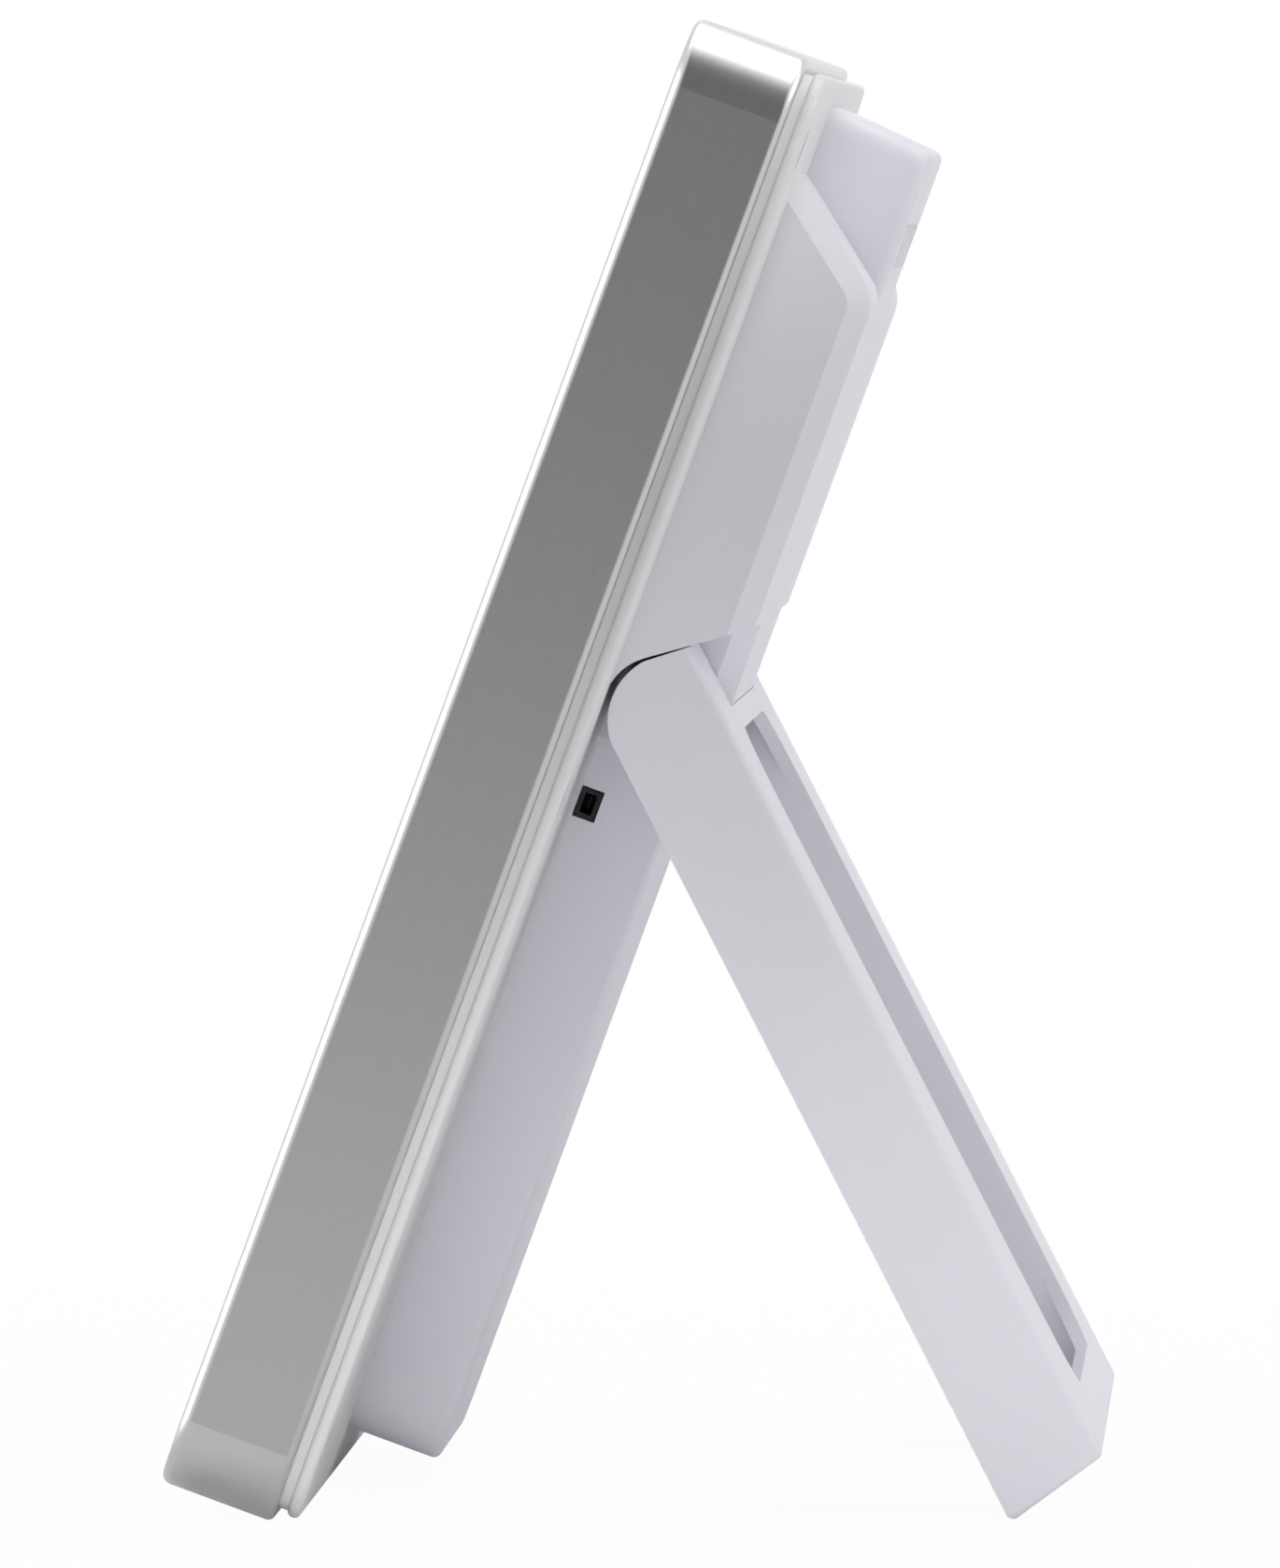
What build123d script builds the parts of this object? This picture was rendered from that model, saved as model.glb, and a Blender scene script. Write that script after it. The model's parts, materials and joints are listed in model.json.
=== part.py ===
"""Digital photo frame with a fold-out rear stand, in millimetres, +Z up, standing on its table."""

import os
from math import atan2, cos, degrees, radians, sin, sqrt, tan

from build123d import *

os.makedirs("parts", exist_ok=True)

# Bezel
bezel_width = 216.0
bezel_height = 175.0
bezel_depth = 13.5
bezel_corner = 8.0
bezel_wall = 3.0
bezel_face = 2.0
front_round = 1.2
edge_round = 0.9
opening_corner = 1.5
opening_chamfer = 1.0

# Screen and the parts behind it, front to back
border_width = 27.0
border_height = 26.75
mat_reveal = 3.0
module_border = 8.0
window_thickness = 1.5
mat_thickness = 0.5
lcd_thickness = 1.4
diffuser_thickness = 0.6
guide_thickness = 3.0
reflector_thickness = 0.2
chassis_wall = 0.6
led_height = 3.5
led_margin = 9.2
fence_wall = 1.5
fence_height = 5.0

# Rear cover
cover_wall = 2.0
groove_inset = 1.8
groove_depth = 1.1
flange_inset = 1.25
flange_thickness = 1.5
flange_round = 0.7
tongue_depth = 2.0
tongue_width = 1.7
spine_width = 72.0
spine_inset = 4.2
spine_draft = 4.7
spine_step = 0.25
spine_corner = 3.0
spine_round = 1.2
lower_box_bottom = 8.1
lower_box_corner = 6.0
lower_box_round = 1.0

# Hinge block
block_width = 159.0
block_step = 8.5
block_upper_slope = 38.0
block_under_slope = 35.4
block_top_round = 5.0
block_bevel = 2.6
block_end_wall = 2.4
core_drop = 5.7

# Stand
pivot_height = 99.4
open_angle = 47.3
stand_reach = 99.4
stand_inner = 6.4
stand_outer = 6.5
stand_wall = 3.2
stand_panel = 1.6
knuckle_drop = 9.0
rail_height = 2.9
foot_bar_height = 6.8
gap_corner = 9.0
foot_cut = 9.0
foot_wall = 2.0
ridge_round = 1.0
rib_wall = 1.6
rib_height = 5.0
rib_rows = 3

# Hinge pins
pin_radius = 2.0
pin_head_radius = 2.75
pin_head_height = 1.5
pin_seat_depth = 2.2
bush_radius = 3.0
washer_thickness = 1.1

# Boards and what is on them
board_thickness = 1.6
board_margin = 2.0
board_lift = 3.0
board_head = 4.5
processor_size = 24.0
processor_thickness = 1.6
chip_space = 2.0
memory_width = 12.0
memory_tall = 10.0
memory_thickness = 1.2
supply_inset = 8.0
supply_drop = 21.0
capacitor_radius = 3.15
capacitor_length = 5.5
capacitor_pitch = 8.0
coil_size = 8.0
coil_thickness = 4.0
driver_margin = 29.0
driver_board_tall = 16.0
driver_board_drop = 10.0
driver_board_thickness = 1.0
connector_deep = 1.8
connector_tall = 4.0
connector_rim = 1.0
lcd_connector_drop = 12.0
lcd_ribbon_width = 20.0
button_connector_drop = 4.0
button_cable_width = 8.0
ribbon_thickness = 0.3
ribbon_bend = 3.0

# Sockets
socket_long = 10.0
socket_tall = 3.4
socket_deep = 2.4
socket_drop = 3.7
socket_wall = 0.5
socket_hollow = 7.0
contact_long = 3.5
contact_thickness = 0.4
contact_tall = 1.5
card_long = 28.0
card_wide = 26.0
card_thickness = 2.8
card_shell = 0.3

# Buttons
button_count = 5
button_end = 7.0
button_space = 4.0
button_tall = 5.0
button_corner = 2.4
button_drop = 12.7
button_travel = 0.8
button_sink = 0.05
button_round = 0.15
skirt_width = 0.8
skirt_thickness = 1.1
stem_radius = 1.7
stem_entry = 0.3
switch_size = 6.0
switch_height = 3.1
switch_well = 2.0
button_board_margin = 2.0
button_board_tall = 18.0
button_screw_rise = 6.4

# Screws
screw_inset = 10.0
screw_radius = 1.2
screw_head_radius = 2.4
screw_head_height = 1.5
screw_slot = 0.6
case_post_radius = 3.4
boss_radius = 3.0
board_post_radius = 2.6
strap_long = 17.0
strap_wide = 9.0
strap_thickness = 1.0
strap_spread = 48.0

# Clearances
stand_gap = 0.2
nest_gap = 0.3
leg_gap = 12.0
panel_gap = 0.1
socket_gap = 0.2
ribbon_slack = 0.1
ear_gap = 0.3
arc_gap = 0.35
stop_taper = 2.7
running_gap = 0.05
seat_gap = 0.02
thread_gap = 0.05
hole_gap = 0.15
part_gap = 0.3
sheet_gap = 0.2
button_gap = 0.2
button_rest_gap = 0.1

# Depths from the front face, and heights from the bezel's bottom edge
flange_front = bezel_depth + groove_depth
flange_back = flange_front + flange_thickness
pivot_depth = flange_back + stand_gap + stand_inner
case_back = pivot_depth + stand_outer
spine_back = case_back - spine_step
box_inner_back = spine_back - cover_wall
panel_inner = stand_outer - stand_panel
lower_box_back = pivot_depth + panel_inner - nest_gap
lower_inner_back = lower_box_back - cover_wall
screen_width = bezel_width - 2 * border_width
screen_height = bezel_height - 2 * border_height
screen_centre = bezel_height / 2
mat_front = bezel_face + window_thickness
module_front = mat_front + mat_thickness
lcd_back = module_front + lcd_thickness
guide_front = lcd_back + diffuser_thickness
reflector_front = guide_front + guide_thickness
chassis_floor = reflector_front + reflector_thickness
module_back = chassis_floor + chassis_wall
module_width = screen_width + 2 * module_border
module_height = screen_height + 2 * module_border
case_post_front = bezel_depth - tongue_depth
case_seat = flange_front - screw_head_height
board_front = flange_back + socket_gap + socket_deep
board_back = board_front + board_thickness
board_width = spine_width - 2 * cover_wall - 2 * board_margin
switch_top = box_inner_back - button_rest_gap - skirt_thickness - button_travel - sheet_gap
button_board_back = switch_top - switch_height
button_board_front = button_board_back - board_thickness
ear_inner_half = spine_width / 2 + leg_gap
core_half = ear_inner_half - ear_gap
core_inner_half = core_half - block_end_wall
core_bottom = pivot_height - core_drop
spine_top = bezel_height - spine_inset
block_top = spine_top - block_step
board_bottom = lower_box_bottom + cover_wall + board_lift
board_top = core_bottom - board_head
board_corner = lower_box_corner - cover_wall - board_margin
board_middle = (board_bottom + board_top) / 2
socket_height = board_top - socket_drop
lcd_connector_height = board_top - lcd_connector_drop
driver_board_height = lcd_connector_height - driver_board_drop
driver_board_width = module_width - 2 * driver_margin
supply_height = board_top - supply_drop
supply_across = board_width / 2 - supply_inset
button_connector_height = board_top - button_connector_drop
button_cable_across = -lcd_ribbon_width / 2 - 3 * connector_rim - button_cable_width / 2
button_height = spine_top - button_drop
button_board_width = spine_width - 2 * cover_wall - 2 * button_board_margin
button_pitch = (button_board_width - 2 * button_end) / (button_count - 1)
button_width = button_pitch - button_space
arc_radius = stand_inner + arc_gap

# Side outline of the hinge block, as depth and height points
under_slope = radians(block_under_slope)
upper_slope = radians(block_upper_slope)
arc_tangent = (pivot_depth - arc_radius * sin(under_slope), pivot_height + arc_radius * cos(under_slope))
arc_rise = sqrt(arc_radius**2 - (pivot_depth - flange_back) ** 2)
arc_end = (flange_back, pivot_height + arc_rise)
arc_angle = (radians(90 + block_under_slope) + atan2(arc_rise, flange_back - pivot_depth)) / 2
arc_middle = (pivot_depth + arc_radius * cos(arc_angle), pivot_height + arc_radius * sin(arc_angle))
block_back_top = block_top - (case_back - flange_back) * tan(upper_slope)
block_back_low = arc_tangent[1] + (case_back - arc_tangent[0]) * tan(under_slope)
block_middle = (block_back_top + block_back_low) / 2

# Side outline of the stand, measured from the hinge axis with the stand folded
swing = radians(open_angle)
ear_slope = swing - under_slope - radians(stop_taper)
foot_slope = radians(foot_cut)
stand_depth = stand_inner + stand_outer
ear_tangent = (stand_inner * sin(ear_slope), stand_inner * cos(ear_slope))
ear_middle = (-stand_inner * cos(radians(45) + ear_slope / 2), stand_inner * sin(radians(45) - ear_slope / 2))
ear_corner = (stand_outer, ear_tangent[1] - (stand_outer - ear_tangent[0]) * tan(ear_slope))
heel = (stand_outer, stand_depth * tan(foot_slope) - stand_reach)
foot_tip = (-stand_inner, -stand_reach)
tip_lift = edge_round * (1 + sin(foot_slope)) / cos(foot_slope)
tip_round_centre = (edge_round - stand_inner, tip_lift - stand_reach)
heel_lift = (edge_round + (stand_depth - edge_round) * sin(foot_slope)) / cos(foot_slope)
heel_round_centre = (stand_outer - edge_round, heel_lift - stand_reach)


def opened(outward, upward):
    """Depth and height of a point of the folded stand once the stand is open."""
    return (
        pivot_depth + outward * cos(swing) - upward * sin(swing),
        pivot_height + outward * sin(swing) + upward * cos(swing),
    )


def panel_top(outward):
    """Top of the stand's panel, cut to lie along the core's back once the stand is open."""
    return (outward * cos(swing) - stand_outer - panel_gap) / sin(swing)


# The case leans back until the bezel's rear bottom edge and the stand's foot share the table
tip_depth, tip_height = opened(*tip_round_centre)
heel_depth, heel_height = opened(*heel_round_centre)
lean = atan2(tip_height - edge_round, tip_depth - bezel_depth + edge_round)
up = Vector(0, sin(lean), cos(lean))
back = Vector(0, cos(lean), -sin(lean))
across = Vector(1, 0, 0)
front_y = front_round * (cos(lean) + sin(lean) - 1)
rear_y = heel_depth * cos(lean) + heel_height * sin(lean) + edge_round
edge_z = edge_round * cos(lean) - (bezel_depth - edge_round) * sin(lean) - edge_round
corner = Vector(0, -(front_y + rear_y) / 2, -edge_z)
hinge = corner + back * pivot_depth + up * pivot_height
stand_out = back * cos(swing) + up * sin(swing)
stand_up = up * cos(swing) - back * sin(swing)
up_axis = Axis(corner, up)
back_axis = Axis(corner, back)
stand_up_axis = Axis(hinge, stand_up)
stand_out_axis = Axis(hinge, stand_out)
hinge_spot = (pivot_depth, pivot_height)


def face_plane(depth):
    """Plane parallel to the screen: local x across, local y up the case, facing the viewer."""
    return Plane(corner + back * depth, x_dir=across, z_dir=-back)


def side_plane(offset):
    """Plane square to the case's width: local x is depth, local y is height."""
    return Plane(corner + across * offset, x_dir=back, z_dir=across)


def stand_plane(offset):
    """Plane square to the hinge axis and centred on it, turned with the stand."""
    return Plane(hinge + across * offset, x_dir=stand_out, z_dir=across)


def stand_face_plane(outward):
    """Plane parallel to the stand's back: local x across, local y up the stand, facing its inside."""
    return Plane(hinge + stand_out * outward, x_dir=across, z_dir=-stand_out)


def rectangles(plane, width, height, centres, radius=0):
    """Rectangles of one size, with round corners where a radius is given."""
    with BuildSketch(plane) as shape:
        with Locations(*centres):
            if radius:
                RectangleRounded(width, height, radius)
            else:
                Rectangle(width, height)
    return shape.sketch


def low_rounded(plane, width, low, high, radius):
    """Rectangle between two heights, with its lower corners rounded."""
    with BuildSketch(plane) as shape:
        with Locations((0, (low + high) / 2)):
            Rectangle(width, high - low)
        fillet(shape.vertices().group_by(Axis.Y)[0], radius)
    return shape.sketch


def discs(plane, radius, centres):
    """Circles of one size."""
    with BuildSketch(plane) as shape:
        with Locations(*centres):
            Circle(radius)
    return shape.sketch


def screen_panel(depth, width, height, radius=0):
    """Rectangle centred on the screen."""
    return rectangles(face_plane(depth), width, height, [(0, screen_centre)], radius)


def screen_ring(depth, outer_inset, inner_inset):
    """Ring between two insets from the bezel's outline."""
    with BuildSketch(face_plane(depth)) as shape:
        with Locations((0, screen_centre)):
            for inset, mode in ((outer_inset, Mode.ADD), (inner_inset, Mode.SUBTRACT)):
                width = bezel_width - 2 * inset
                height = bezel_height - 2 * inset
                RectangleRounded(width, height, bezel_corner - inset, mode=mode)
    return shape.sketch


def outline(plane, points):
    """Closed straight-sided outline."""
    with BuildSketch(plane) as shape:
        with BuildLine():
            Polyline(*points, close=True)
        make_face()
    return shape.sketch


def ribbon(offset, points, bend):
    """Section of a flat cable along a path of depth and height points."""
    with BuildSketch(side_plane(offset)) as shape:
        with BuildLine():
            FilletPolyline(*points, radius=bend)
        trace(line_width=ribbon_thickness)
    return shape.sketch


def screw_set(spots, seat, tip):
    """Cross-head screws whose heads rest on the seat depth and whose shanks reach the tip depth."""
    toward = 1 if tip > seat else -1
    top = seat - toward * screw_head_height
    with BuildPart() as screws:
        extrude(discs(face_plane(top), screw_head_radius, spots), amount=top - seat)
        extrude(discs(face_plane(seat), screw_radius, spots), amount=seat - tip)
        for width, height in ((2 * screw_radius, screw_slot), (screw_slot, 2 * screw_radius)):
            slot = rectangles(face_plane(top), width, height, spots)
            extrude(slot, amount=-toward * screw_head_height / 2, mode=Mode.SUBTRACT)
    return screws


def keep(piece, name):
    """Label a finished piece and write it out."""
    piece.part.label = name
    export_step(piece.part, f"parts/{name}.step")


# Places of the screws and buttons, across and up the case
both_sides = (-1, 1)
case_across = bezel_width / 2 - screw_inset
case_heights = (screw_inset, screen_centre, bezel_height - screw_inset)
case_spots = [(side * case_across, height) for side in both_sides for height in case_heights]
strap_screw_across = module_width / 2 + part_gap + fence_wall + part_gap + boss_radius
strap_heights = (screen_centre - strap_spread, screen_centre + strap_spread)
strap_screw_spots = [(side * strap_screw_across, height) for side in both_sides for height in strap_heights]
board_screw_across = board_width / 2 - screw_head_radius - board_margin
board_rows = (board_bottom + board_corner, board_top - screw_inset)
board_screw_spots = [(side * board_screw_across, height) for side in both_sides for height in board_rows]
button_spots = [((row - (button_count - 1) / 2) * button_pitch, button_height) for row in range(button_count)]
button_screw_across = button_board_width / 2 - screw_head_radius - board_margin
button_screw_height = button_height + button_screw_rise
button_screw_spots = [(side * button_screw_across, button_screw_height) for side in both_sides]

# Front bezel
with BuildPart() as front_bezel:
    extrude(screen_panel(0, bezel_width, bezel_height, bezel_corner), amount=-bezel_depth)
    fillet(front_bezel.edges().group_by(back_axis)[0], front_round)
    fillet(front_bezel.edges().group_by(back_axis)[-1], edge_round)
    hollow_width = bezel_width - 2 * bezel_wall
    hollow_height = bezel_height - 2 * bezel_wall
    hollow = screen_panel(bezel_face, hollow_width, hollow_height, bezel_corner - bezel_wall)
    extrude(hollow, amount=bezel_face - bezel_depth, mode=Mode.SUBTRACT)
    opening_width = screen_width + 2 * mat_reveal
    opening_height = screen_height + 2 * mat_reveal
    opening = screen_panel(0, opening_width, opening_height, opening_corner)
    extrude(opening, amount=-bezel_face, mode=Mode.SUBTRACT)
    front_face = front_bezel.faces().sort_by(back_axis)[0]
    chamfer(front_face.inner_wires().edges(), opening_chamfer)
    fence_width = module_width + 2 * part_gap
    fence_tall = module_height + 2 * part_gap
    with BuildSketch(face_plane(bezel_face)) as fence:
        with Locations((0, screen_centre)):
            Rectangle(fence_width + 2 * fence_wall, fence_tall + 2 * fence_wall)
            Rectangle(fence_width, fence_tall, mode=Mode.SUBTRACT)
    extrude(fence.sketch, amount=-fence_height)
    extrude(discs(face_plane(bezel_face), boss_radius, case_spots), amount=bezel_face - case_post_front)
    extrude(discs(face_plane(bezel_face), boss_radius, strap_screw_spots), amount=bezel_face - module_back)
    pilots = discs(face_plane(2 * bezel_face), screw_radius + thread_gap, case_spots + strap_screw_spots)
    extrude(pilots, amount=2 * bezel_face - bezel_depth, mode=Mode.SUBTRACT)
keep(front_bezel, "front_bezel")

# Window, mat and display module
with BuildPart() as screen_window:
    extrude(screen_panel(bezel_face, module_width, module_height), amount=-window_thickness)
keep(screen_window, "screen_window")

with BuildPart() as inner_mat:
    extrude(screen_panel(mat_front, module_width, module_height), amount=-mat_thickness)
    extrude(screen_panel(mat_front, screen_width, screen_height), amount=-mat_thickness, mode=Mode.SUBTRACT)
keep(inner_mat, "inner_mat")

tray_width = module_width - 2 * chassis_wall
tray_height = module_height - 2 * chassis_wall
with BuildPart() as lcd_chassis:
    extrude(screen_panel(module_front, module_width, module_height), amount=module_front - module_back)
    tray = screen_panel(module_front, tray_width, tray_height)
    extrude(tray, amount=module_front - chassis_floor, mode=Mode.SUBTRACT)
keep(lcd_chassis, "lcd_chassis")

sheet_width = tray_width - 2 * sheet_gap
sheet_height = tray_height - 2 * sheet_gap
with BuildPart() as lcd_panel:
    extrude(screen_panel(module_front, sheet_width, sheet_height), amount=-lcd_thickness)
keep(lcd_panel, "lcd_panel")

with BuildPart() as diffuser_sheet:
    extrude(screen_panel(lcd_back, sheet_width, sheet_height), amount=-diffuser_thickness)
keep(diffuser_sheet, "diffuser_sheet")

with BuildPart() as light_guide:
    guide_height = sheet_height - led_height
    guide_centre = [(0, screen_centre + led_height / 2)]
    guide = rectangles(face_plane(guide_front), sheet_width, guide_height, guide_centre)
    extrude(guide, amount=-guide_thickness)
keep(light_guide, "light_guide")

with BuildPart() as led_strip:
    led_length = sheet_width - 2 * led_margin
    led_centre = [(0, screen_centre - tray_height / 2 + led_height / 2)]
    extrude(rectangles(face_plane(guide_front), led_length, led_height, led_centre), amount=-guide_thickness)
keep(led_strip, "led_strip")

with BuildPart() as reflector_sheet:
    extrude(screen_panel(reflector_front, sheet_width, sheet_height), amount=-reflector_thickness)
keep(reflector_sheet, "reflector_sheet")

# Straps that clamp the display module to the bezel's bosses
with BuildPart() as lcd_straps:
    strap_across = strap_screw_across + boss_radius - strap_long / 2
    strap_spots = [(side * strap_across, height) for side in both_sides for height in strap_heights]
    extrude(rectangles(face_plane(module_back), strap_long, strap_wide, strap_spots), amount=-strap_thickness)
    strap_holes = discs(face_plane(module_back), screw_radius + hole_gap, strap_screw_spots)
    extrude(strap_holes, amount=-strap_thickness, mode=Mode.SUBTRACT)
keep(lcd_straps, "lcd_straps")
keep(screw_set(strap_screw_spots, module_back + strap_thickness, bezel_face + bezel_wall), "strap_screws")

# Board behind the display, and the ribbon that joins it to the main board
with BuildPart() as lcd_driver_board:
    driver_centre = [(0, driver_board_height)]
    driver = rectangles(face_plane(module_back), driver_board_width, driver_board_tall, driver_centre)
    extrude(driver, amount=-driver_board_thickness)
keep(lcd_driver_board, "lcd_driver_board")

driver_back = module_back + driver_board_thickness
driver_connector_height = driver_board_height + driver_board_tall / 2 - connector_tall / 2 - connector_rim
main_connector_front = board_front - connector_deep
with BuildPart() as lcd_connectors:
    plug_width = lcd_ribbon_width + 2 * connector_rim
    plug_centre = [(0, driver_connector_height)]
    driver_plug = rectangles(face_plane(driver_back), plug_width, connector_tall, plug_centre)
    extrude(driver_plug, amount=-connector_deep)
    plug_centre = [(0, lcd_connector_height)]
    main_plug = rectangles(face_plane(main_connector_front), plug_width, connector_tall, plug_centre)
    extrude(main_plug, amount=-connector_deep)
keep(lcd_connectors, "lcd_connectors")

main_ribbon_depth = main_connector_front + connector_deep / 2
with BuildPart() as lcd_ribbon:
    driver_ribbon_depth = driver_back + connector_deep / 2
    ribbon_points = [
        (driver_ribbon_depth, driver_connector_height + connector_tall / 2),
        (driver_ribbon_depth, board_top),
        (main_ribbon_depth, board_top),
        (main_ribbon_depth, lcd_connector_height + connector_tall / 2),
    ]
    loop_bend = (main_ribbon_depth - driver_ribbon_depth) / 2 - ribbon_slack
    extrude(ribbon(-lcd_ribbon_width / 2, ribbon_points, loop_bend), amount=lcd_ribbon_width)
keep(lcd_ribbon, "lcd_ribbon")

# Main board in the lower box
with BuildPart() as main_board:
    blank = low_rounded(face_plane(board_front), board_width, board_bottom, board_top, board_corner)
    extrude(blank, amount=-board_thickness)
    board_holes = discs(face_plane(board_front), screw_radius + hole_gap, board_screw_spots)
    extrude(board_holes, amount=-board_thickness, mode=Mode.SUBTRACT)
keep(main_board, "main_board")
keep(screw_set(board_screw_spots, board_front, lower_inner_back - part_gap), "board_screws")

with BuildPart() as main_processor:
    chip = rectangles(face_plane(board_front), processor_size, processor_size, [(0, board_middle)])
    extrude(chip, amount=processor_thickness)
keep(main_processor, "main_processor")

with BuildPart() as memory_chips:
    memory_across = (memory_width + chip_space) / 2
    memory_height = board_middle - (processor_size + memory_tall) / 2 - chip_space
    memory_spots = [(side * memory_across, memory_height) for side in both_sides]
    chips = rectangles(face_plane(board_front), memory_width, memory_tall, memory_spots)
    extrude(chips, amount=memory_thickness)
keep(memory_chips, "memory_chips")

with BuildPart() as supply_capacitors:
    capacitor_spots = [(supply_across, supply_height), (supply_across - capacitor_pitch, supply_height)]
    extrude(discs(face_plane(board_front), capacitor_radius, capacitor_spots), amount=capacitor_length)
keep(supply_capacitors, "supply_capacitors")

with BuildPart() as supply_coil:
    coil_spot = [(-supply_across, supply_height)]
    extrude(rectangles(face_plane(board_front), coil_size, coil_size, coil_spot), amount=coil_thickness)
keep(supply_coil, "supply_coil")

# Power socket in the lower box's side, on the front of the main board
socket_depth = board_front - socket_deep / 2
socket_spot = [(socket_depth, socket_height)]
box_side = spine_width / 2
with BuildPart() as power_socket:
    extrude(rectangles(side_plane(box_side), socket_deep, socket_tall, socket_spot), amount=-socket_long)
    mouth_deep = socket_deep - 2 * socket_wall
    mouth_tall = socket_tall - 2 * socket_wall
    mouth = rectangles(side_plane(box_side), mouth_deep, mouth_tall, socket_spot)
    extrude(mouth, amount=-socket_hollow, mode=Mode.SUBTRACT)
keep(power_socket, "power_socket")

with BuildPart() as socket_contact:
    contact = rectangles(side_plane(box_side - socket_hollow), contact_thickness, contact_tall, socket_spot)
    extrude(contact, amount=contact_long)
keep(socket_contact, "socket_contact")

# Memory card socket on the back of the main board, opening through the other side
card_spot = [(board_back + card_thickness / 2, board_middle)]
card_mouth = (card_thickness - 2 * card_shell, card_wide - 2 * card_shell)
with BuildPart() as card_socket:
    card_face = side_plane(cover_wall - box_side)
    extrude(rectangles(card_face, card_thickness, card_wide, card_spot), amount=card_long)
    extrude(rectangles(card_face, *card_mouth, card_spot), amount=card_long - card_shell, mode=Mode.SUBTRACT)
keep(card_socket, "card_socket")

# Button board in the upper box
with BuildPart() as button_board:
    plate_spot = [(0, button_height)]
    plate = rectangles(face_plane(button_board_front), button_board_width, button_board_tall, plate_spot)
    extrude(plate, amount=-board_thickness)
    plate_holes = discs(face_plane(button_board_front), screw_radius + hole_gap, button_screw_spots)
    extrude(plate_holes, amount=-board_thickness, mode=Mode.SUBTRACT)
keep(button_board, "button_board")
keep(screw_set(button_screw_spots, button_board_front, box_inner_back - part_gap), "button_board_screws")

with BuildPart() as tact_switches:
    extrude(rectangles(face_plane(switch_top), switch_size, switch_size, button_spots), amount=switch_height)
    wells = discs(face_plane(switch_top), stem_radius + hole_gap, button_spots)
    extrude(wells, amount=switch_well, mode=Mode.SUBTRACT)
keep(tact_switches, "tact_switches")

button_connector_front = button_board_front - connector_deep
button_board_low = button_height - button_board_tall / 2
button_plug_height = button_board_low + connector_rim + connector_tall / 2
with BuildPart() as button_connectors:
    plug_width = button_cable_width + 2 * connector_rim
    plug_centre = [(button_cable_across, button_plug_height)]
    button_plug = rectangles(face_plane(button_connector_front), plug_width, connector_tall, plug_centre)
    extrude(button_plug, amount=-connector_deep)
    plug_centre = [(button_cable_across, button_connector_height)]
    main_plug = rectangles(face_plane(main_connector_front), plug_width, connector_tall, plug_centre)
    extrude(main_plug, amount=-connector_deep)
keep(button_connectors, "button_connectors")

with BuildPart() as button_cable:
    button_ribbon_depth = button_connector_front + connector_deep / 2
    cable_top = button_plug_height - connector_tall / 2
    cable_low = button_connector_height + connector_tall / 2
    cable_third = (cable_top - cable_low) / 3
    cable_points = [
        (button_ribbon_depth, cable_top),
        (button_ribbon_depth, cable_top - cable_third),
        (main_ribbon_depth, cable_low + cable_third),
        (main_ribbon_depth, cable_low),
    ]
    cable_start = button_cable_across - button_cable_width / 2
    extrude(ribbon(cable_start, cable_points, ribbon_bend), amount=button_cable_width)
keep(button_cable, "button_cable")

# Push buttons, sunk a little in the back of the upper box
button_names = ("power_button", "back_button", "play_button", "next_button", "menu_button")
skirt_back = box_inner_back - button_rest_gap
skirt_front = skirt_back - skirt_thickness
cap_back = spine_back - button_sink
stem_front = switch_top - stem_entry
for name, spot in zip(button_names, button_spots):
    with BuildPart() as button:
        skirt_size = (button_width + 2 * skirt_width, button_tall + 2 * skirt_width)
        skirt = rectangles(face_plane(skirt_front), *skirt_size, [spot], button_corner + skirt_width)
        extrude(skirt, amount=-skirt_thickness)
        cap = rectangles(face_plane(skirt_back), button_width, button_tall, [spot], button_corner)
        extrude(cap, amount=skirt_back - cap_back)
        fillet(button.edges().group_by(back_axis)[-1], button_round)
        extrude(discs(face_plane(stem_front), stem_radius, [spot]), amount=stem_front - skirt_front)
    keep(button, name)

# Outer forms of the rear cover
with BuildPart() as upper_box:
    spine_drop = (spine_back - flange_front) * tan(radians(spine_draft))
    box_points = [
        (flange_front, block_middle),
        (flange_front, spine_top),
        (spine_back, spine_top - spine_drop),
        (spine_back, block_middle),
    ]
    extrude(outline(side_plane(-spine_width / 2), box_points), amount=spine_width)
    roof_slope = radians(spine_draft)
    roof_axis = Axis(corner, back * cos(roof_slope) - up * sin(roof_slope))
    fillet(upper_box.edges().filter_by(roof_axis), spine_corner)
    fillet(upper_box.edges().group_by(back_axis)[-1], spine_round)

with BuildPart() as lower_box:
    box_top = core_bottom + cover_wall
    box_plane = face_plane(flange_front)
    box_face = low_rounded(box_plane, spine_width, lower_box_bottom, box_top, lower_box_corner)
    extrude(box_face, amount=flange_front - lower_box_back)
    fillet(lower_box.edges().group_by(back_axis)[-1], lower_box_round)

with BuildPart() as hinge_block:
    with BuildSketch(side_plane(-block_width / 2)):
        with BuildLine():
            Polyline(
                arc_end,
                (flange_front, arc_end[1]),
                (flange_front, block_top),
                (flange_back, block_top),
                (case_back, block_back_top),
                (case_back, block_back_low),
                arc_tangent,
            )
            ThreePointArc(arc_tangent, arc_middle, arc_end)
        make_face()
    extrude(amount=block_width)
    rear_edges = hinge_block.edges().filter_by(Axis.X).group_by(back_axis)[-1]
    fillet(rear_edges.sort_by(up_axis)[-1], block_top_round)
    slope_axis = Axis(corner, back * cos(upper_slope) - up * sin(upper_slope))
    chamfer(hinge_block.edges().filter_by(slope_axis), block_bevel)

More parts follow.
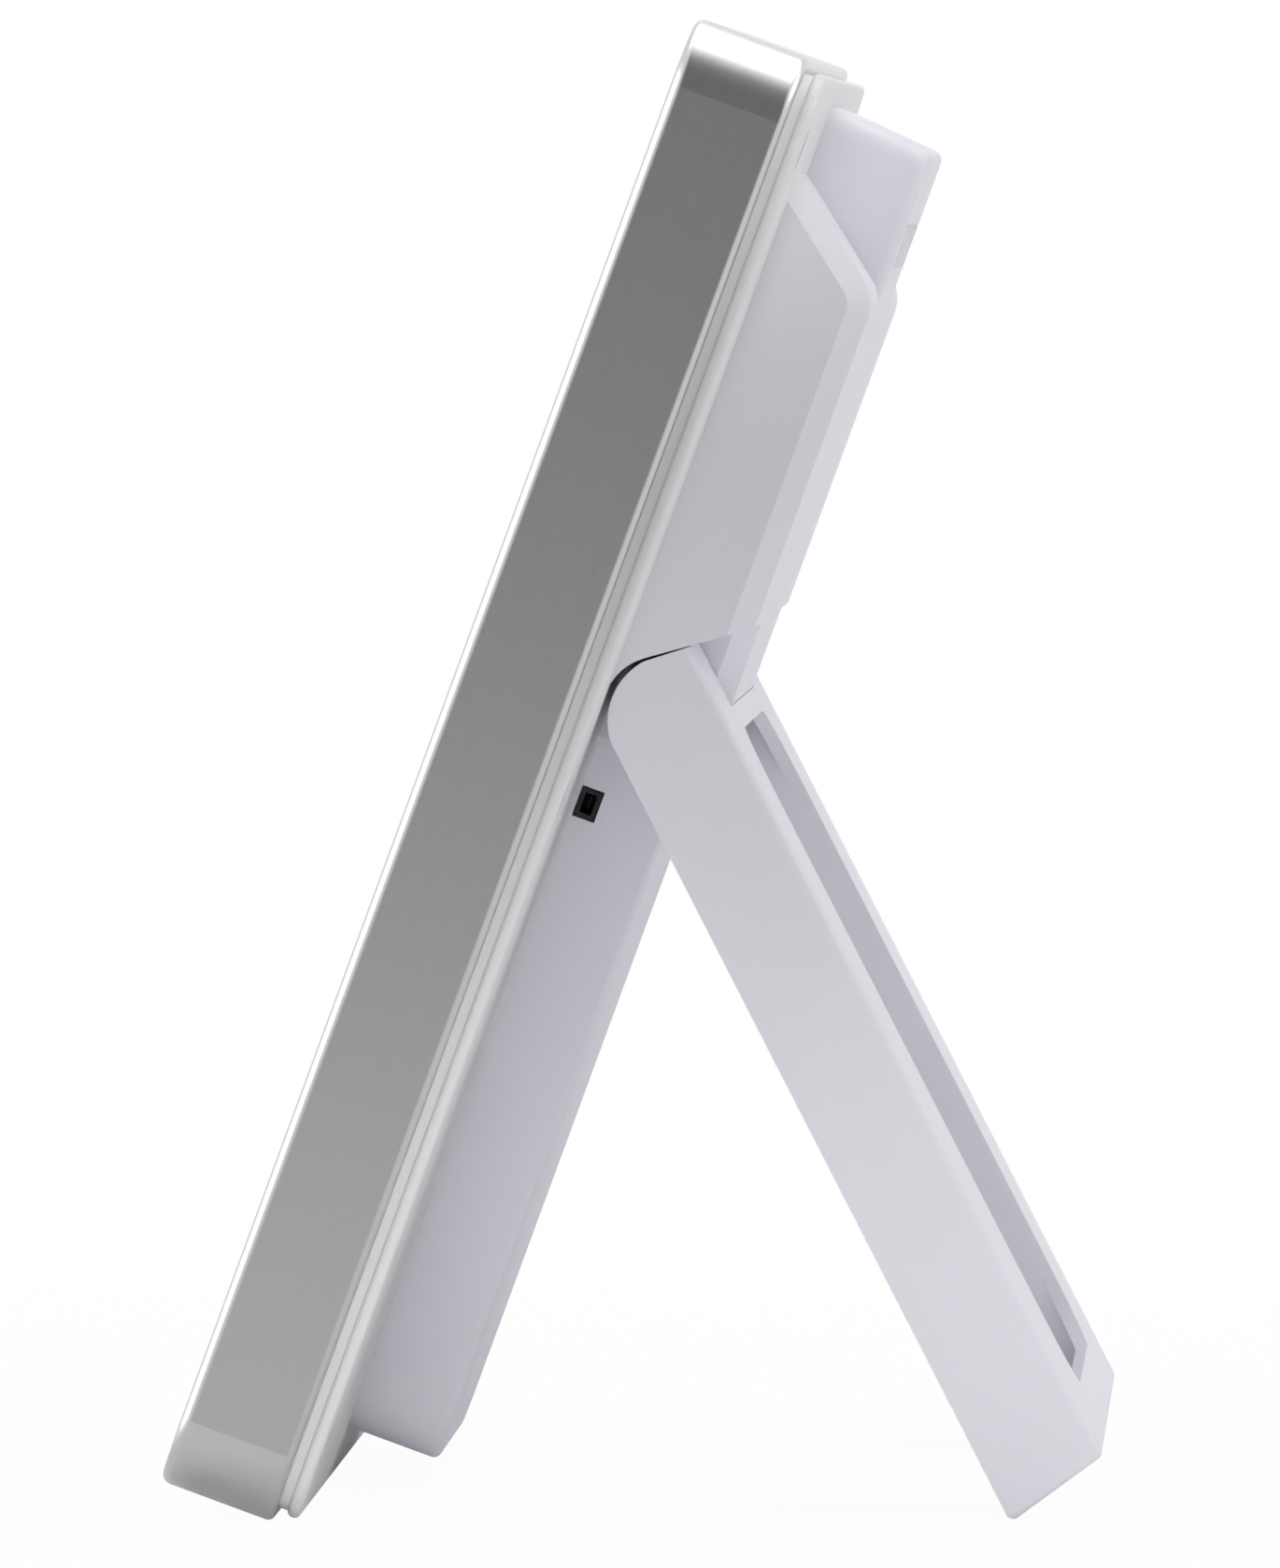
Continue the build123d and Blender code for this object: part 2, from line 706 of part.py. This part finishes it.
with BuildPart() as hinge_core:
    round_start = sqrt(stand_outer**2 - core_drop**2)
    round_angle = atan2(-core_drop, round_start) / 2
    round_low = (pivot_depth + round_start, core_bottom)
    middle_depth = pivot_depth + stand_outer * cos(round_angle)
    middle_height = pivot_height + stand_outer * sin(round_angle)
    core_box = [
        (flange_front, core_bottom),
        (case_back, core_bottom),
        (case_back, block_middle),
        (flange_front, block_middle),
    ]
    extrude(outline(side_plane(-core_half), core_box), amount=2 * core_half)
    upright = hinge_core.edges().filter_by(up_axis)
    chamfer(upright.group_by(back_axis)[-1], block_bevel)
    with BuildSketch(side_plane(-core_half)):
        with BuildLine():
            Polyline(
                (case_back, pivot_height),
                (case_back + cover_wall, pivot_height),
                (case_back + cover_wall, core_bottom - cover_wall),
                (round_low[0], core_bottom - cover_wall),
                round_low,
            )
            ThreePointArc(round_low, (middle_depth, middle_height), (case_back, pivot_height))
        make_face()
    extrude(amount=2 * core_half, mode=Mode.SUBTRACT)

# Rear cover
with BuildPart() as rear_cover:
    flange_width = bezel_width - 2 * flange_inset
    flange_height = bezel_height - 2 * flange_inset
    flange = screen_panel(flange_front, flange_width, flange_height, bezel_corner - flange_inset)
    extrude(flange, amount=-flange_thickness)
    fillet(rear_cover.edges().group_by(back_axis)[0], flange_round)
    fillet(rear_cover.edges().group_by(back_axis)[-1], flange_round)
    tongue_outer = bezel_wall + sheet_gap
    tongue_inner = tongue_outer + tongue_width
    extrude(screen_ring(bezel_depth, groove_inset, tongue_inner), amount=-groove_depth)
    extrude(screen_ring(case_post_front, tongue_outer, tongue_inner), amount=case_post_front - flange_front)
    add(lower_box.part)
    add(hinge_core.part)
    add(hinge_block.part)
    add(upper_box.part)

    # Hollows behind the display
    hollow_width = spine_width - 2 * cover_wall
    low_hollow = lower_box_bottom + cover_wall
    core_hollow = core_bottom + cover_wall
    hollow_corner = lower_box_corner - cover_wall
    lower_hollow = low_rounded(face_plane(bezel_depth), hollow_width, low_hollow, core_hollow, hollow_corner)
    extrude(lower_hollow, amount=bezel_depth - lower_inner_back, mode=Mode.SUBTRACT)
    roof_drop = (box_inner_back - flange_front) * tan(radians(spine_draft))
    upper_points = [
        (bezel_depth, block_middle),
        (bezel_depth, spine_top - cover_wall),
        (flange_front, spine_top - cover_wall),
        (box_inner_back, spine_top - cover_wall - roof_drop),
        (box_inner_back, block_middle),
    ]
    upper_hollow = outline(side_plane(-hollow_width / 2), upper_points)
    extrude(upper_hollow, amount=hollow_width, mode=Mode.SUBTRACT)
    round_inner = sqrt((stand_outer - cover_wall) ** 2 - (core_drop - cover_wall) ** 2)
    core_points = [
        (bezel_depth, core_hollow),
        (pivot_depth + round_inner, core_hollow),
        (box_inner_back, pivot_height),
        (box_inner_back, block_middle),
        (bezel_depth, block_middle),
    ]
    core_outline = outline(side_plane(-core_inner_half), core_points)
    extrude(core_outline, amount=2 * core_inner_half, mode=Mode.SUBTRACT)
    block_half = block_width / 2 - block_end_wall
    slope_drop = cover_wall / cos(upper_slope)
    block_points = [
        (bezel_depth, block_back_low + cover_wall),
        (box_inner_back, block_back_low + cover_wall),
        (box_inner_back, block_back_top + cover_wall * tan(upper_slope) - slope_drop),
        (flange_back, block_top - slope_drop),
        (bezel_depth, block_top - slope_drop),
    ]
    block_outline = outline(side_plane(-block_half), block_points)
    extrude(block_outline, amount=2 * block_half, mode=Mode.SUBTRACT)

    # Posts for the boards and the case screws
    pilot = screw_radius + thread_gap
    board_posts = discs(face_plane(board_back), board_post_radius, board_screw_spots)
    extrude(board_posts, amount=board_back - lower_box_back)
    board_pilots = discs(face_plane(board_back), pilot, board_screw_spots)
    extrude(board_pilots, amount=board_back - lower_inner_back, mode=Mode.SUBTRACT)
    button_posts = discs(face_plane(button_board_back), board_post_radius, button_screw_spots)
    extrude(button_posts, amount=button_board_back - spine_back)
    button_pilots = discs(face_plane(button_board_back), pilot, button_screw_spots)
    extrude(button_pilots, amount=button_board_back - box_inner_back, mode=Mode.SUBTRACT)
    case_posts = discs(face_plane(case_post_front), case_post_radius, case_spots)
    extrude(case_posts, amount=case_post_front - flange_back)
    case_holes = discs(face_plane(case_post_front), screw_radius + hole_gap, case_spots)
    extrude(case_holes, amount=case_post_front - flange_back, mode=Mode.SUBTRACT)
    head_wells = discs(face_plane(case_seat), screw_head_radius + part_gap, case_spots)
    extrude(head_wells, amount=case_seat - flange_back, mode=Mode.SUBTRACT)

    # Openings for the sockets, the buttons and the hinge
    window_deep = socket_deep + 2 * hole_gap
    window_tall = socket_tall + 2 * hole_gap
    socket_window = rectangles(side_plane(box_side), window_deep, window_tall, socket_spot)
    extrude(socket_window, amount=-cover_wall, mode=Mode.SUBTRACT)
    extrude(rectangles(side_plane(-box_side), *card_mouth, card_spot), amount=cover_wall, mode=Mode.SUBTRACT)
    hole_width = button_width + 2 * button_gap
    hole_tall = button_tall + 2 * button_gap
    hole_corner = button_corner + button_gap
    button_holes = rectangles(face_plane(spine_back), hole_width, hole_tall, button_spots, hole_corner)
    extrude(button_holes, amount=cover_wall, mode=Mode.SUBTRACT)
    for side in both_sides:
        bush_hole = discs(side_plane(side * core_half), bush_radius, [hinge_spot])
        extrude(bush_hole, amount=-side * block_end_wall, mode=Mode.SUBTRACT)
keep(rear_cover, "rear_cover")
keep(screw_set(case_spots, case_seat, bezel_face + bezel_wall), "case_screws")

# Stand
with BuildPart() as stand_shell:
    stand_width = block_width
    with BuildSketch(stand_plane(-stand_width / 2)):
        with BuildLine():
            Polyline(ear_tangent, ear_corner, heel, foot_tip, (-stand_inner, 0))
            ThreePointArc((-stand_inner, 0), ear_middle, ear_tangent)
        make_face()
    extrude(amount=stand_width)
    long_edges = stand_shell.edges().filter_by(stand_up_axis)
    fillet(long_edges.group_by(stand_out_axis)[-1], ridge_round)
    low_edges = stand_shell.edges().filter_by(Axis.X).group_by(stand_up_axis)
    fillet(low_edges[0] + low_edges[1], edge_round)

    # Gap between the legs, which folds over the lower box, with a thin rail above and a bar at the foot
    wall_lift = foot_wall / cos(foot_slope) - stand_reach
    hollow_low = [
        (-2 * stand_inner, wall_lift - stand_inner * tan(foot_slope)),
        (panel_inner, wall_lift + (panel_inner + stand_inner) * tan(foot_slope)),
    ]
    tray_points = [*hollow_low, (panel_inner, stand_depth), (-2 * stand_inner, stand_depth)]
    tray = outline(stand_plane(-ear_inner_half), tray_points)
    extrude(tray, amount=2 * ear_inner_half, mode=Mode.SUBTRACT)
    ear_gap_points = [
        (-stand_depth, panel_top(-stand_depth)),
        (stand_depth, panel_top(stand_depth)),
        (stand_depth, stand_depth),
        (-stand_depth, stand_depth),
    ]
    ear_space = outline(stand_plane(-ear_inner_half), ear_gap_points)
    extrude(ear_space, amount=2 * ear_inner_half, mode=Mode.SUBTRACT)
    gap_top = panel_top(stand_outer) - rail_height
    gap_low = heel[1] + foot_bar_height
    gap_size = (2 * ear_inner_half, gap_top - gap_low)
    gap_centre = [(0, (gap_top + gap_low) / 2)]
    gap = rectangles(stand_face_plane(stand_outer), *gap_size, gap_centre, gap_corner)
    extrude(gap, amount=stand_panel, mode=Mode.SUBTRACT)

    # Legs, hollow on the inside, with stiffening ribs
    leg_width = stand_width / 2 - ear_inner_half
    leg_across = ear_inner_half + leg_width / 2
    pocket_width = leg_width - 2 * stand_wall
    pocket_points = [*hollow_low, (panel_inner, -knuckle_drop), (-2 * stand_inner, -knuckle_drop)]
    for side in both_sides:
        pocket = outline(stand_plane(side * leg_across - pocket_width / 2), pocket_points)
        extrude(pocket, amount=pocket_width, mode=Mode.SUBTRACT)
    rib_low = hollow_low[1][1] - rib_height * tan(foot_slope)
    rib_length = -knuckle_drop - rib_low
    rib_plane = stand_face_plane(panel_inner)
    rib_spots = [(side * leg_across, rib_low + rib_length / 2) for side in both_sides]
    extrude(rectangles(rib_plane, rib_wall, rib_length, rib_spots), amount=rib_height)
    cross_step = rib_length / (rib_rows + 1)
    cross_rows = [rib_low + cross_step * (row + 1) for row in range(rib_rows)]
    cross_spots = [(side * leg_across, height) for side in both_sides for height in cross_rows]
    extrude(rectangles(rib_plane, pocket_width, rib_wall, cross_spots), amount=rib_height)
    for side in both_sides:
        pin_seat = discs(stand_plane(side * ear_inner_half), pin_radius + seat_gap, [(0, 0)])
        extrude(pin_seat, amount=side * pin_seat_depth, mode=Mode.SUBTRACT)
keep(stand_shell, "stand_shell")

# Hinge pins, held in the ears and turning in bushes in the cover
washer_inner = core_inner_half - washer_thickness
with BuildPart() as hinge_pins:
    head_start = washer_inner - pin_head_height
    pin_end = ear_inner_half + pin_seat_depth
    for side in both_sides:
        head = discs(stand_plane(side * head_start), pin_head_radius, [(0, 0)])
        extrude(head, amount=side * pin_head_height)
        shaft = discs(stand_plane(side * washer_inner), pin_radius, [(0, 0)])
        extrude(shaft, amount=side * (pin_end - washer_inner))
keep(hinge_pins, "hinge_pins")

with BuildPart() as hinge_bushes:
    for side in both_sides:
        sleeve = discs(side_plane(side * core_inner_half), bush_radius - seat_gap, [hinge_spot])
        extrude(sleeve, amount=side * block_end_wall)
        bore = discs(side_plane(side * core_inner_half), pin_radius + running_gap, [hinge_spot])
        extrude(bore, amount=side * block_end_wall, mode=Mode.SUBTRACT)
keep(hinge_bushes, "hinge_bushes")

with BuildPart() as friction_washers:
    washer_solid = washer_thickness - running_gap
    for side in both_sides:
        ring = discs(side_plane(side * core_inner_half), pin_head_radius, [hinge_spot])
        extrude(ring, amount=-side * washer_solid)
        bore = discs(side_plane(side * core_inner_half), pin_radius + running_gap, [hinge_spot])
        extrude(bore, amount=-side * washer_solid, mode=Mode.SUBTRACT)
keep(friction_washers, "friction_washers")

base = corner + back * (bezel_depth / 2)
print(f"lean {degrees(lean):.3f} degrees, stand folds by {open_angle} degrees")
print(f"hinge axis at y {hinge.Y:.4f}, z {hinge.Z:.4f}")
print(f"bottom face centre at y {base.Y:.4f}, z {base.Z:.4f}, normal {tuple(-up)}")
print(f"buttons press along {tuple(-back)}")
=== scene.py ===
"""Digital photo frame with a fold-out rear stand: finishes, floor, light and camera."""

import json
from math import cos, pi, radians, sin

import bpy
from mathutils import Matrix, Vector

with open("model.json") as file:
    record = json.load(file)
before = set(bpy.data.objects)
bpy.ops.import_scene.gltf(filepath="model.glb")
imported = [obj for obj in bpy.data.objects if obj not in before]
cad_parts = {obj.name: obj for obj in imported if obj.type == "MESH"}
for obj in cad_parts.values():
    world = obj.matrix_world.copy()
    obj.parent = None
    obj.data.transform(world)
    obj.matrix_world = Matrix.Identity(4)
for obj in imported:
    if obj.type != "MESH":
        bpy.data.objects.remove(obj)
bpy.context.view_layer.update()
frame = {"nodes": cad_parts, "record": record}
nodes = frame["nodes"]
record = frame["record"]

# Camera: a long lens beside the frame, a little behind it and above it
image_height = 1678
focal_pixels = 22252.0
sensor_height = 36.0
camera_turn = radians(91.809)
camera_lift = radians(1.594)
camera_roll = radians(0.725)
camera_across = -0.00213
camera_rise = 0.08044
camera_distance = 2.434

# Depth, behind the front face, at which the flange ends, and the change of tone there
flange_back = 0.0162
flange_blend = 0.0006

# Plastics
abs_ior = 1.53
acrylic_ior = 1.49

# Studio
floor_size = 40.0
sky_level = 0.26
near_floor = 0.15
far_floor = 0.7
floor_white = 0.965
floor_mirrored = 0.2
card_distance = 1.0
card_along = 0.12
card_width = 0.75
card_height = 1.8
lamp_target = (0, 0, 0.08)


def linear(code):
    """Scene colour of an sRGB hex code."""
    channels = [int(code[start:start + 2], 16) / 255 for start in (1, 3, 5)]
    low = [channel / 12.92 for channel in channels]
    high = [((channel + 0.055) / 1.055) ** 2.4 for channel in channels]
    return [a if channel <= 0.04045 else b for channel, a, b in zip(channels, low, high)] + [1.0]


def per_mm(size):
    """Texture scale, in metres, of a pattern whose marks are this many millimetres apart."""
    return 1000.0 / size


def add(tree, kind, values=None, links=None, **settings):
    """Add a node with its settings, its socket values and the sockets that feed it."""
    made = tree.nodes.new(kind)
    for name, value in settings.items():
        setattr(made, name, value)
    for socket, value in (values or {}).items():
        made.inputs[socket].default_value = value
    for socket, source in (links or {}).items():
        tree.links.new(source, made.inputs[socket])
    return made


def finish(name):
    """A new material with its shader and the piece's own coordinates."""
    made = bpy.data.materials.new(name)
    made.use_nodes = True
    tree = made.node_tree
    shader = tree.nodes["Principled BSDF"]
    place = add(tree, "ShaderNodeTexCoord").outputs["Object"]
    return made, tree, shader, place


def toned(tree, place, light, dark, spacing):
    """Colour that drifts between two tones, with patches this many millimetres apart."""
    noise = add(tree, "ShaderNodeTexNoise", {"Scale": per_mm(spacing), "Detail": 2.0}, {"Vector": place})
    tones = {6: linear(dark), 7: linear(light)}
    return add(tree, "ShaderNodeMix", tones, {0: noise.outputs["Fac"]}, data_type="RGBA").outputs[2]


def blotched(tree, shader, place, light, dark, spacing):
    """Base colour that drifts between two tones."""
    tree.links.new(toned(tree, place, light, dark, spacing), shader.inputs["Base Color"])


def grained(tree, shader, place, spacing, height, low, high):
    """Surface grain that moves the roughness between two values and raises the surface a little."""
    sizes = {"Scale": per_mm(spacing), "Detail": 3.0, "Roughness": 0.6}
    noise = add(tree, "ShaderNodeTexNoise", sizes, {"Vector": place})
    rough = add(tree, "ShaderNodeMapRange", {"To Min": low, "To Max": high}, {"Value": noise.outputs["Fac"]})
    tree.links.new(rough.outputs["Result"], shader.inputs["Roughness"])
    bump = add(tree, "ShaderNodeBump", {"Distance": height / 1000}, {"Height": noise.outputs["Fac"]})
    tree.links.new(bump.outputs["Normal"], shader.inputs["Normal"])


def silver_lacquer():
    """Satin silver lacquer sprayed on ABS: a soft even sheen, its fine flake drawn coarser than real."""
    made, tree, shader, place = finish("satin_silver_lacquer")
    blotched(tree, shader, place, "#c9cacc", "#c6c7c9", 1.5)
    grained(tree, shader, place, 1.5, 0.0001, 0.265, 0.295)
    shader.inputs["Metallic"].default_value = 1.0
    return made


def moulded(name, light, dark, blotch, grain, height, low, high):
    """Injection-moulded plastic: an even tone with a fine spark-eroded texture."""
    made, tree, shader, place = finish(name)
    blotched(tree, shader, place, light, dark, blotch)
    grained(tree, shader, place, grain, height, low, high)
    shader.inputs["IOR"].default_value = abs_ior
    return made


def cover_white():
    """White ABS with a fine spark-eroded texture: neutral in the thin flange, faintly lilac behind it."""
    made, tree, shader, place = finish("white_abs")
    front = next(mount for mount in record["mounts"] if mount["name"] == "front_face")
    back_way = -Vector(front["axis"])
    flange_end = back_way.dot(Vector(front["pos_m"])) + flange_back
    depth = add(tree, "ShaderNodeVectorMath", {1: back_way}, {0: place}, operation="DOT_PRODUCT")
    span = {"From Min": flange_end, "From Max": flange_end + flange_blend}
    behind = add(tree, "ShaderNodeMapRange", span, {"Value": depth.outputs["Value"]})
    neutral = toned(tree, place, "#e6e7e8", "#e2e3e4", 18.0)
    lilac = toned(tree, place, "#e8e6ee", "#e4e2ea", 18.0)
    sources = {0: behind.outputs["Result"], 6: neutral, 7: lilac}
    mix = add(tree, "ShaderNodeMix", None, sources, data_type="RGBA")
    tree.links.new(mix.outputs[2], shader.inputs["Base Color"])
    grained(tree, shader, place, 0.45, 0.008, 0.42, 0.56)
    shader.inputs["IOR"].default_value = abs_ior
    return made


def ruled(tree, shader, place, light, dark, pitch, width):
    """Base colour of fine parallel lines on a plain ground."""
    sizes = {"Scale": per_mm(pitch) * pi / 10, "Distortion": 0.0}
    wave = add(tree, "ShaderNodeTexWave", sizes, {"Vector": place}, bands_direction="X")
    edge = {"From Min": 1.0 - width, "From Max": 1.0 - width / 2}
    line = add(tree, "ShaderNodeMapRange", edge, {"Value": wave.outputs["Fac"]})
    tones = {6: linear(dark), 7: linear(light)}
    mix = add(tree, "ShaderNodeMix", tones, {0: line.outputs["Result"]}, data_type="RGBA")
    tree.links.new(mix.outputs[2], shader.inputs["Base Color"])


def circuit_board():
    """Glass-epoxy board under green solder resist: paler copper tracks show through the varnish."""
    made, tree, shader, place = finish("green_solder_resist")
    ruled(tree, shader, place, "#2b8250", "#155c31", 1.6, 0.5)
    grained(tree, shader, place, 1.2, 0.02, 0.3, 0.45)
    return made


def film_cable():
    """Flat film cable: flat tinned conductors under clear film, side by side."""
    made, tree, shader, place = finish("flat_film_cable")
    ruled(tree, shader, place, "#c9cacb", "#e4e3d8", 1.0, 1.0)
    grained(tree, shader, place, 1.0, 0.01, 0.3, 0.45)
    return made


def display_glass():
    """Switched-off LCD: near-black glass with rows of cells, drawn coarser than real so that they show."""
    made, tree, shader, place = finish("dark_display_glass")
    ruled(tree, shader, place, "#14171f", "#0b0d12", 0.4, 0.6)
    grained(tree, shader, place, 0.5, 0.001, 0.12, 0.2)
    return made


def metal(name, light, dark, grain, low, high):
    """Bare metal with a fine even grain."""
    made, tree, shader, place = finish(name)
    blotched(tree, shader, place, light, dark, grain)
    grained(tree, shader, place, grain, 0.004, low, high)
    shader.inputs["Metallic"].default_value = 1.0
    return made


def clear_acrylic():
    """Polished clear acrylic: hard reflections over whatever lies behind."""
    made, tree, shader, place = finish("clear_acrylic")
    blotched(tree, shader, place, "#fbfdfd", "#f4f8f8", 30.0)
    grained(tree, shader, place, 25.0, 0.001, 0.01, 0.03)
    shader.inputs["Transmission Weight"].default_value = 1.0
    shader.inputs["IOR"].default_value = acrylic_ior
    return made


finishes = {
    "silver": silver_lacquer(),
    "white": cover_white(),
    "window": clear_acrylic(),
    # Black card, matt and slightly fibrous
    "mat": moulded("black_card", "#161617", "#0e0e0f", 1.2, 0.5, 0.02, 0.75, 0.9),
    "display": display_glass(),
    # Acrylic light guide, pale and milky
    "clear_plastic": moulded("light_guide_acrylic", "#dde6ea", "#cfdade", 1.5, 1.5, 0.01, 0.1, 0.25),
    # White polyester film, matt and even
    "sheet_white": moulded("white_film", "#f0f0ee", "#e6e6e4", 2.0, 0.8, 0.005, 0.5, 0.7),
    # Zinc-plated steel, grey with a dull shine
    "steel": metal("plated_steel", "#c4c4c0", "#adaeac", 0.5, 0.25, 0.4),
    "board": circuit_board(),
    # Moulded black plastic, satin
    "black": moulded("moulded_black", "#1c1c1e", "#141416", 1.0, 0.4, 0.01, 0.45, 0.6),
    # Drawn aluminium, pale and bright
    "can": metal("drawn_aluminium", "#d2d3d5", "#bcbdc0", 0.4, 0.25, 0.35),
    # Pressed ferrite, dark grey and rough
    "ferrite": moulded("ferrite", "#3a3a3c", "#242426", 0.6, 0.3, 0.03, 0.6, 0.8),
    # Ivory nylon of connector housings, satin
    "ivory": moulded("ivory_nylon", "#e0d9c2", "#d5cdb4", 2.0, 0.6, 0.01, 0.4, 0.55),
    "ribbon": film_cable(),
    # Plated brass, yellow and bright
    "contact": metal("plated_brass", "#d9b465", "#c29c4e", 0.4, 0.2, 0.35),
    # Plain nylon, cream and waxy
    "nylon": moulded("plain_nylon", "#cfcabb", "#c3bdac", 2.0, 0.5, 0.01, 0.45, 0.6),
}
for entry in record["subparts"]:
    piece = nodes[entry["node"]]
    for slot in piece.material_slots:
        slot.material = finishes[entry["material_slot"]]

# Floor: white to the eye, with a faint shadow near the object that fades into the white
bpy.ops.mesh.primitive_plane_add(size=floor_size)
floor = bpy.context.object
floor.name = "floor"
paper, tree, shader, place = finish("white_paper")
blotched(tree, shader, place, "#f6f6f6", "#f2f2f2", 400.0)
shader.inputs["Roughness"].default_value = 0.9
path = add(tree, "ShaderNodeLightPath")
reach = add(tree, "ShaderNodeVectorMath", None, {0: place}, operation="LENGTH").outputs["Value"]
span = {"From Min": near_floor, "From Max": far_floor}


def fading_white(near_value):
    """White that starts at a value near the object and reaches full white further out."""
    values = span | {"To Min": near_value, "To Max": 1.0}
    ramp = add(tree, "ShaderNodeMapRange", values, {"Value": reach}, interpolation_type="SMOOTHSTEP")
    return ramp.outputs[0]


seen_white = fading_white(floor_white)
reflected_white = fading_white(floor_mirrored)
rays = {0: path.outputs["Is Glossy Ray"], 1: path.outputs["Is Transmission Ray"]}
mirrored = add(tree, "ShaderNodeMath", None, rays, use_clamp=True)
camera_rays = {0: path.outputs["Is Camera Ray"], 1: seen_white}
seen = add(tree, "ShaderNodeMath", None, camera_rays, operation="MULTIPLY")
parts = {0: mirrored.outputs[0], 1: reflected_white, 2: seen.outputs[0]}
share = add(tree, "ShaderNodeMath", None, parts, operation="MULTIPLY_ADD", use_clamp=True)
glow = add(tree, "ShaderNodeEmission")
layers = {0: share.outputs[0], 1: shader.outputs[0], 2: glow.outputs[0]}
mixed = add(tree, "ShaderNodeMixShader", None, layers)
tree.links.new(mixed.outputs[0], tree.nodes["Material Output"].inputs["Surface"])
floor.data.materials.append(paper)

# Painted dark reflection: a glowing grey card beside the camera that shows only in reflections and casts no
# shadow, standing in for the unlit side of a studio
bpy.ops.mesh.primitive_plane_add(size=1.0)
card = bpy.context.object
card.name = "painted_reflection_card"
card.data.transform(Matrix.Diagonal((card_height, card_width, 1.0, 1.0)))
card.data.transform(Matrix.Rotation(radians(90), 4, "Y"))
card.data.transform(Matrix.Translation((card_distance, card_along, card_height / 2)))
for ray in ("camera", "diffuse", "shadow", "transmission"):
    setattr(card, "visible_" + ray, False)
paint, tree, _, _ = finish("painted_dark_reflection")
# Painted dark reflection: the card's grey glow, which only glossy rays see
shade = add(tree, "ShaderNodeEmission", {"Color": linear("#6e6e6f")})
tree.links.new(shade.outputs[0], tree.nodes["Material Output"].inputs["Surface"])
card.data.materials.append(paint)

# White background, and a softer sky for the light on the object
world = bpy.data.worlds.new("studio")
bpy.context.scene.world = world
world.use_nodes = True
sky = world.node_tree
backdrop = sky.nodes["Background"]
path = add(sky, "ShaderNodeLightPath")
seen = add(sky, "ShaderNodeMath", None, {0: path.outputs["Is Camera Ray"], 1: path.outputs["Is Glossy Ray"]})
rays = {0: seen.outputs[0], 1: path.outputs["Is Transmission Ray"]}
shown = add(sky, "ShaderNodeMath", None, rays, use_clamp=True)
level = add(sky, "ShaderNodeMapRange", {"To Min": sky_level, "To Max": 1.0}, {"Value": shown.outputs[0]})
backdrop.inputs["Color"].default_value = (1, 1, 1, 1)
sky.links.new(level.outputs["Result"], backdrop.inputs["Strength"])


def softbox(name, place, target, width, height, radiance):
    """Rectangular soft light aimed at a point."""
    lamp = bpy.data.lights.new(name, "AREA")
    lamp.shape = "RECTANGLE"
    lamp.size = width
    lamp.size_y = height
    lamp.energy = radiance * pi * width * height
    light = bpy.data.objects.new(name, lamp)
    light.location = place
    light.rotation_euler = (Vector(target) - Vector(place)).to_track_quat("-Z", "Y").to_euler()
    light.visible_camera = False
    bpy.context.scene.collection.objects.link(light)
    return light


softbox("front_softbox", (0.35, -1.15, 0.5), lamp_target, 1.3, 0.7, 1.7)
softbox("overhead_softbox", (-0.25, 0.1, 1.25), lamp_target, 1.4, 1.2, 1.7)
softbox("back_softbox", (0.1, 1.2, 0.7), lamp_target, 1.2, 0.8, 1.45)

# Two strip lights with grids, beside the camera, for the sides near the table and near the top
low_strip = softbox("low_strip", (0.6, 0.0, 0.018), (0, 0, 0.018), 0.3, 0.06, 0.78)
high_strip = softbox("high_strip", (0.6, 0.05, 0.19), (0, 0.05, 0.19), 0.3, 0.06, 0.55)
for strip, spread in ((low_strip, 24), (high_strip, 14)):
    strip.data.spread = radians(spread)
    strip.visible_glossy = False

# Camera
view = Vector((-sin(camera_turn) * cos(camera_lift), cos(camera_turn) * cos(camera_lift), -sin(camera_lift)))
level_right = Vector((cos(camera_turn), sin(camera_turn), 0))
level_up = level_right.cross(view)
right = level_right * cos(camera_roll) + level_up * sin(camera_roll)
upward = level_up * cos(camera_roll) - level_right * sin(camera_roll)
camera = bpy.data.objects.new("camera", bpy.data.cameras.new("camera"))
bpy.context.scene.collection.objects.link(camera)
stance = Matrix((right, upward, -view)).transposed().to_4x4()
stance.translation = right * camera_across + upward * camera_rise - view * camera_distance
camera.matrix_world = stance
camera.data.sensor_fit = "VERTICAL"
camera.data.sensor_height = sensor_height
camera.data.lens = sensor_height * focal_pixels / image_height
bpy.context.scene.camera = camera
bpy.context.scene.view_settings.view_transform = "Standard"
